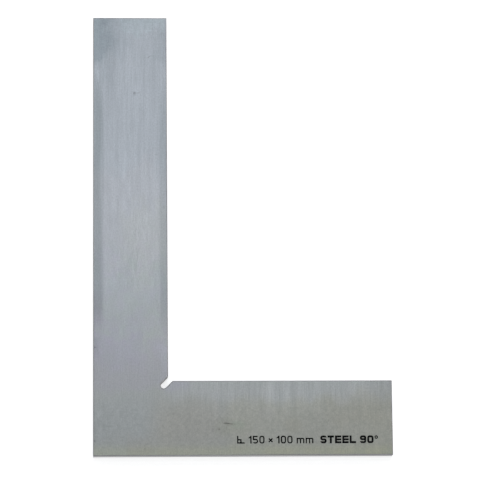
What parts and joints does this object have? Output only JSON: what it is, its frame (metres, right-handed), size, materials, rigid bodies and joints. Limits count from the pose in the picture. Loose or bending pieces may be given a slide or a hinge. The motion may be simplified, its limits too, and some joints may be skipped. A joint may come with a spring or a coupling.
{
  "type": "steel square ruler",
  "caption": "Flat L-shaped steel square with legs of equal width, fine edge breaks and a slot that clears its inner corner, for marking, cutting along and checking right angles.",
  "frame": {"origin": "the outer corner of the square, on the plane it rests on", "axes": "lying flat with the marked face up: +X along the short leg's outer edge, +Y along the long leg's outer edge, +Z out of the marked face"},
  "size_m": [0.1, 0.15, 0.005],
  "materials": {
    "ground_steel": "satin surface grinding, with fine lines that run parallel to the long leg over both legs",
    "etched_black": "matt black oxide in shallow etching"
  },
  "bodies": {
    "root": {"square_body": "ground_steel", "size_marking": "etched_black", "angle_marking": "etched_black"}
  },
  "joints": []
}
